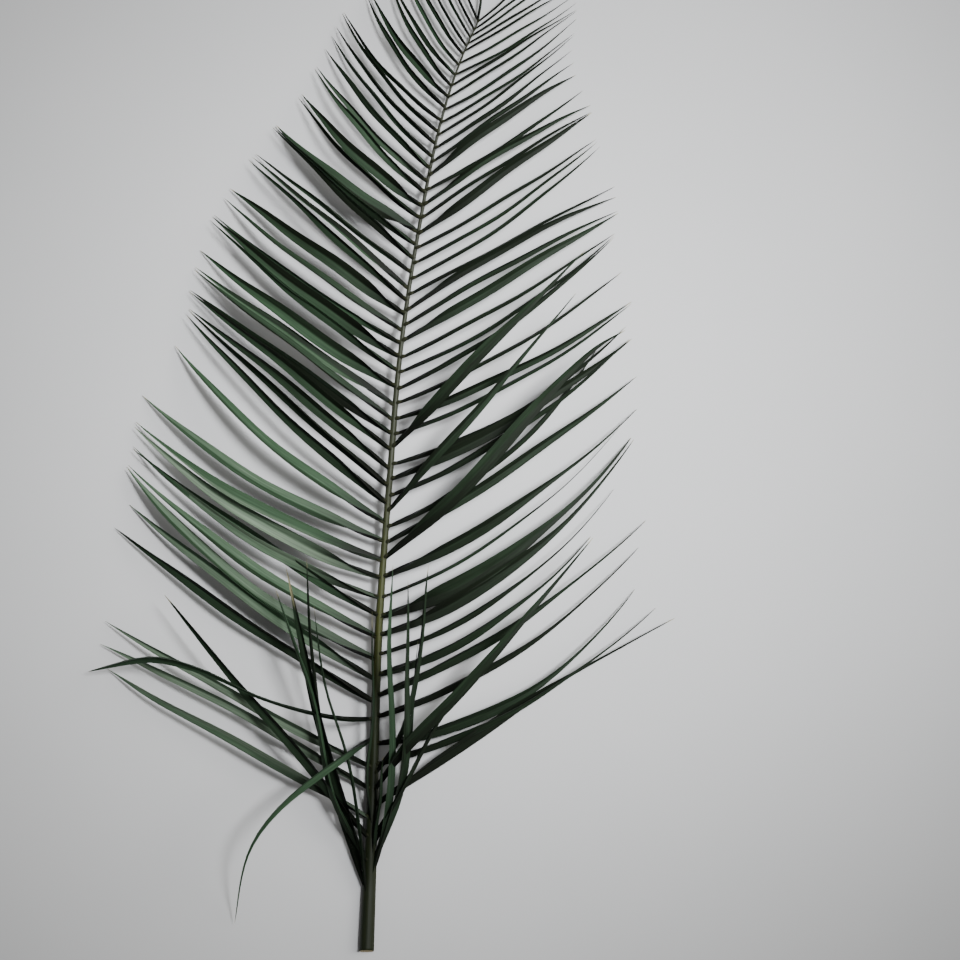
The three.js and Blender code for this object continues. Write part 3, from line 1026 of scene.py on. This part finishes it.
class GrowthTree:
    """A Geometry Nodes tree with named inputs that grows one piece from a mesh of places.

    inputs are its sizes by name, each with its kind of socket and its value, and fields the attributes that
    it reads, each with its kind.
    """

    inputs: dict[str, tuple[str, float]] = {}
    fields: dict[str, str] = {}

    def __init__(self, name: str) -> None:
        """Builds the tree, which ends in one realized and dressed mesh."""
        tree = self.tree = bpy.data.node_groups.new(name, "GeometryNodeTree")
        new_socket = tree.interface.new_socket
        kinds = {"Source": "Geometry", **{k: v[0] for k, v in self.inputs.items()}, "Finish": "Material"}
        self.ids = {
            label: new_socket(name=label, in_out="INPUT", socket_type="NodeSocket" + kind).identifier
            for label, kind in kinds.items()
        }
        new_socket(name="Grown", in_out="OUTPUT", socket_type="NodeSocketGeometry")
        add = self.add = partial(add_node, tree)
        self.entry = add("NodeGroupInput").outputs
        self.read = {
            label: add("GeometryNodeInputNamedAttribute", {"Name": label}, data_type=kind)
            for label, kind in self.fields.items()
        }
        whole = add("GeometryNodeRealizeInstances", {"Geometry": self.grown()})
        dressed = add("GeometryNodeSetMaterial", {"Geometry": whole, "Material": self.entry["Finish"]})
        shaded = add("GeometryNodeSetShadeSmooth", {"Geometry": dressed})
        add("NodeGroupOutput", {0: shaded})

    def grown(self) -> Any:
        """The node whose first output is the geometry that grows."""
        raise NotImplementedError

    def fill(self, source: Mesh, midribs: Sequence[Midrib]) -> None:
        """Gives the mesh of places its points and attributes.

        Args:
            source: the empty mesh.
            midribs: the leaflets' midribs.
        """
        raise NotImplementedError

    def grow(self, name: str, midribs: Sequence[Midrib], finish: Material) -> Any:
        """Makes one piece: a plain mesh with its faces pointing out.

        Args:
            name: the piece's name.
            midribs: the leaflets' midribs.
            finish: the piece's material.

        Returns:
            The object, at the origin.
        """
        source = bpy.data.meshes.new(name + "_source")
        self.fill(source, midribs)
        holder = add_object(name + "_source", source)
        modifier = holder.modifiers.new("growth", "NODES")
        modifier.node_group = self.tree
        for label, (_, value) in self.inputs.items():
            modifier[self.ids[label]] = value
        modifier[self.ids["Finish"]] = finish
        depsgraph = bpy.context.evaluated_depsgraph_get()
        mesh = bpy.data.meshes.new_from_object(holder.evaluated_get(depsgraph), depsgraph=depsgraph)
        bpy.data.objects.remove(holder)
        for label in HELPERS:
            if label in mesh.attributes:
                mesh.attributes.remove(mesh.attributes[label])
        mesh.name = name
        work = bmesh.new()
        work.from_mesh(mesh)
        bmesh.ops.recalc_face_normals(work, faces=work.faces)
        work.to_mesh(mesh)
        work.free()
        return add_object(name, mesh)


class BladeTree(GrowthTree):
    """Turns midribs into folded blades.

    The source is a mesh of edge chains, one chain a leaflet, with the frame, half width and fold of the
    blade stored at each point. Each chain is swept with a ring, and the ring's points are then laid out as a
    folded section: two wings, thin at their edges, with a keel under the midrib.
    """

    inputs = {
        "Sides": ("Int", BLADE.sides), "Thickness": ("Float", BLADE.thickness * MM),
        "Keel": ("Float", BLADE.keel * MM), "Curl": ("Float", BLADE.curl),
        "Lowest": ("Float", BLADE.lowest * MM),
    }
    fields = {
        **dict.fromkeys("midrib across up".split(), "FLOAT_VECTOR"),
        **dict.fromkeys("span face wing fold run hand contrast shut tone".split(), "FLOAT"),
    }
    # Each sum by name, its operation and what it takes: attributes, inputs, sums above it or plain numbers.
    sums = (
        ("reach", "ABSOLUTE", "span"), ("flat", "COSINE", "fold"), ("steep", "SINE", "fold"),
        # Sideways: the place across the blade, laid flat by the fold.
        ("out", "MULTIPLY", "span", "wing"), ("aside", "MULTIPLY", "out", "flat"),
        # Upwards: the wing's rise, less its curl.
        ("curled", "MULTIPLY", "Curl", "reach"), ("bend", "SUBTRACT", 1.0, "curled"),
        ("half", "MULTIPLY", "reach", "wing"), ("risen", "MULTIPLY", "half", "steep"),
        ("lift", "MULTIPLY", "risen", "bend"),
        # Downwards, on the lower face alone: the thickness and the keel, which dies out in a ninth of the
        # wing, both slimmer where the half width is under a 700th of a metre.
        ("far", "MULTIPLY", "reach", -9.0), ("near", "EXPONENT", "far"),
        ("ridge", "MULTIPLY", "Keel", "near"),
        ("share", "MULTIPLY", "wing", 700.0), ("slim", "MINIMUM", 1.0, "share"),
        ("under", "ADD", "Thickness", "ridge"), ("below", "MINIMUM", "face", 0.0),
        ("deep", "MULTIPLY", "below", "under"), ("skin", "MULTIPLY", "deep", "slim"),
        ("height", "ADD", "lift", "skin"),
        # Painted light and shade on the two wings: from -1 on the wing drawn lighter to 1 on the one drawn
        # darker, with a seventh of the half width to change. The darker wing also keeps more of the painted
        # shade of the closed fold.
        ("handed", "MULTIPLY", "span", "hand"), ("toward", "MULTIPLY", "handed", 7.0),
        ("floor", "MAXIMUM", -1.0, "toward"), ("dark", "MINIMUM", 1.0, "floor"),
        ("shade", "MULTIPLY_ADD", "dark", 0.15, 0.83), ("closed", "MULTIPLY", "shut", "shade"),
        ("tint", "MULTIPLY_ADD", "dark", -0.45, -0.12), ("step", "MULTIPLY", "contrast", "tint"),
        ("toned", "ADD", "tone", "step"),
    )
    gathering = 1.5

    def grown(self) -> Any:
        """Sweeps the chains into blades with their UV map, tone and painted shade of the fold and wings."""
        add, entry = self.add, self.entry
        chains = add("GeometryNodeMeshToCurve", {"Mesh": entry["Source"]})
        taken = {"Curve": chains, "Profile Curve": self._ring(), "Fill Caps": True}
        swept = add("GeometryNodeCurveToMesh", taken)
        field = {**self.read, **{label: entry[label] for label in self.inputs}}
        for label, operation, *values in self.sums:
            taken = {k: field.get(value, value) for k, value in enumerate(values)}
            field[label] = add("ShaderNodeMath", taken, operation=operation)
        beside, above = (
            add("ShaderNodeVectorMath", {0: field[way], "Scale": field[size]}, operation="SCALE")
            for way, size in (("across", "aside"), ("up", "height"))
        )
        offset = add("ShaderNodeVectorMath", {0: beside, 1: above}, operation="ADD")
        place = add("ShaderNodeVectorMath", {0: field["midrib"], 1: offset}, operation="ADD")
        parts = add("ShaderNodeSeparateXYZ", {0: place}).outputs
        kept = add("ShaderNodeMath", {0: parts[2], 1: entry["Lowest"]}, operation="MAXIMUM")
        raised = add("ShaderNodeCombineXYZ", {0: parts[0], 1: parts[1], 2: kept})
        grown = add("GeometryNodeSetPosition", {"Geometry": swept, "Position": raised})
        chart = add("ShaderNodeCombineXYZ", {0: field["out"], 1: field["run"]})
        # These store the painted shade of the closed fold and the tone with the wings' painted light and
        # shade.
        for label, value, settings in (
            ("UVMap", chart, {"data_type": "FLOAT2", "domain": "CORNER"}),
            ("shut", field["closed"], {}),
            ("tone", field["toned"], {}),
        ):
            taken = {"Geometry": grown, "Name": label, "Value": value}
            grown = add("GeometryNodeStoreNamedAttribute", taken, **settings)
        return grown

    def _ring(self) -> Any:
        """The ring that is swept, each point storing its place across the blade and its face."""
        add = self.add
        ring = add("GeometryNodeCurvePrimitiveCircle", {"Resolution": self.entry["Sides"], "Radius": 1.0})
        place = add("GeometryNodeInputPosition")
        parts = add("ShaderNodeSeparateXYZ", {0: place}).outputs
        size, sign = (
            add("ShaderNodeMath", {0: parts["X"]}, operation=way) for way in ("ABSOLUTE", "SIGN")
        )
        drawn = add("ShaderNodeMath", {0: size, 1: self.gathering}, operation="POWER")
        span = add("ShaderNodeMath", {0: drawn, 1: sign}, operation="MULTIPLY")
        for label, value in (("span", span), ("face", parts["Y"])):
            taken = {"Geometry": ring, "Name": label, "Value": value}
            ring = add("GeometryNodeStoreNamedAttribute", taken)
        return ring

    def fill(self, source: Mesh, midribs: Sequence[Midrib]) -> None:
        """Lays the midribs out as edge chains, with the frame, fold and colour of each blade."""
        count = BLADE.stations
        points = np.vstack([m.path for m in midribs]) * MM
        edges = [(m * count + k, m * count + k + 1) for m in range(len(midribs)) for k in range(count - 1)]
        source.from_pydata(points.tolist(), edges, [])
        store(source, "midrib", points)
        for label in ("across", "up", "fold", "shut", "dry"):
            store(source, label, np.concatenate([getattr(m, label) for m in midribs]))
        for label in ("wing", "run"):
            store(source, label, np.concatenate([getattr(m, label) for m in midribs]) * MM)
        for label in ("hand", "contrast", "tone"):
            store(source, label, np.repeat([getattr(m, label) for m in midribs], count))


class CushionTree(GrowthTree):
    """Sets a small woody cushion at each leaflet's root, on a mesh of points: reach and lift are in mm."""

    inputs = {"Radius": ("Float", 1.9 * MM), "Stretch": ("Float", 2.0), "Depth": ("Float", 0.85)}
    fields = {"ahead": "FLOAT_VECTOR", "size": "FLOAT"}
    reach = 2.9
    lift = 1.1
    segments = 10
    rings = 7

    def grown(self) -> Any:
        """Puts a stretched ball on each point, turned along its leaflet."""
        add, entry = self.add, self.entry
        points = add("GeometryNodeMeshToPoints", {"Mesh": entry["Source"]})
        ball = add(
            "GeometryNodeMeshUVSphere",
            {"Segments": self.segments, "Rings": self.rings, "Radius": entry["Radius"]},
        )
        turn = add("FunctionNodeAlignRotationToVector", {"Vector": self.read["ahead"]}, axis="X")
        shape = add("ShaderNodeCombineXYZ", {0: entry["Stretch"], 1: 1.0, 2: entry["Depth"]})
        scaled = add("ShaderNodeVectorMath", {0: shape, "Scale": self.read["size"]}, operation="SCALE")
        taken = {"Points": points, "Instance": ball, "Rotation": turn, "Scale": scaled}
        return add("GeometryNodeInstanceOnPoints", taken)

    def fill(self, source: Mesh, midribs: Sequence[Midrib]) -> None:
        """Puts a point a little out from each leaflet's root."""
        lift = np.array([0.0, 0.0, self.lift])
        places = np.array([m.path[0] + (m.ahead[0] * self.reach + lift) * m.scale for m in midribs]) * MM
        source.from_pydata(places.tolist(), [], [])
        store(source, "ahead", np.array([m.ahead[0] for m in midribs]))
        store(source, "size", np.array([m.scale for m in midribs]))


@dataclass(frozen=True)
class Surface:
    """The pale surface under the frond, in metres."""

    size: float = 14.0

    def build(self, finish: Material) -> None:
        """A level sheet at the frond's lowest point.

        Args:
            finish: the surface's material.
        """
        half = self.size / 2.0 / MM
        corners = np.array([(x * half, y * half, 0.0) for x, y in ((-1, -1), (1, -1), (1, 1), (-1, 1))])
        floor = mesh_object("surface", corners, [(0, 1, 2, 3)], finish)


@dataclass(frozen=True)
class SoftLight:
    """A square area light: place, aim and side in metres, power in watts, spread as a full angle."""

    name: str
    place: Point
    aim: Point
    side: float
    power: float
    colour: str
    spread: float

    def build(self) -> None:
        """Adds the light, turned to its aim."""
        data = bpy.data.lights.new(self.name, "AREA")
        data.shape = "SQUARE"
        data.size = self.side
        data.energy = self.power
        data.color = linear(self.colour)[:3]
        data.spread = math.radians(self.spread)
        light = add_object(self.name, data)
        light.location = self.place
        line = Vector(self.aim) - Vector(self.place)
        light.rotation_euler = line.to_track_quat("-Z", "Y").to_euler()


@dataclass(frozen=True)
class Studio:
    """Camera and lights, in metres. The camera looks down on the middle of its view."""

    centre_x: float = 0.0985
    centre_y: float = -0.04
    view_width: float = 0.96
    lens: float = 120.0
    sensor: float = 36.0
    view_height: float = 0.02
    sky: str = "#f3f3f3"
    sky_strength: float = 0.285

    def build(self) -> None:
        """The camera straight above, and soft light from the right."""
        self._camera()
        self._lights()
        self._sky()

    def _camera(self) -> None:
        """A long lens looking straight down, framed to show the view width across."""
        data = bpy.data.cameras.new("camera")
        data.lens = self.lens
        data.sensor_width = self.sensor
        data.clip_end = 50.0
        camera = add_object("camera", data)
        distance = self.view_width * self.lens / self.sensor
        camera.location = (self.centre_x, self.centre_y, self.view_height + distance)
        bpy.context.scene.camera = camera

    def _lights(self) -> None:
        """A window-like light from the right and a weak one from above."""
        SoftLight("window", (2.9, 1.1, 2.5), (-0.15, 0.05, 0.0), 3.0, 21.0, "#fffefb", 46.0).build()
        SoftLight("pool", (1.25, 0.65, 2.9), (0.14, 0.06, 0.0), 0.9, 8.2, "#fbfcff", 22.0).build()

    def _sky(self) -> None:
        """An even pale surround."""
        world = bpy.data.worlds.new("surround")
        world.use_nodes = True
        background = world.node_tree.nodes["Background"]
        background.inputs["Color"].default_value = linear(self.sky)
        background.inputs["Strength"].default_value = self.sky_strength
        bpy.context.scene.world = world


def main() -> None:
    """Builds the frond, the surface, the camera and the lights."""
    logging.basicConfig(level=logging.INFO, format="%(message)s")
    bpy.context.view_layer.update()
    stem = Stem()
    set_piece(stem.build(PalmRachis().build(), CutPith().build()))
    maker = LeafletMaker(stem)
    tree = BladeTree("folded_blades")
    cuticle = PreservedLeaflet().build()
    every = {
        LEFT_ROW.name: maker.row(LEFT_ROW),
        RIGHT_ROW.name: maker.row(RIGHT_ROW),
        "foot_leaflets": maker.loose(LOOSE),
    }
    for name, midribs in every.items():
        set_piece(tree.grow(name, midribs, cuticle))
    joined = [midrib for midribs in every.values() for midrib in midribs]
    set_piece(CushionTree("cushions").grow("leaflet_bases", joined, SHADED_CUSHION_RIND.build()))
    Surface().build(PALE_PAINT.build())
    Studio().build()


if __name__ == "__main__":
    main()
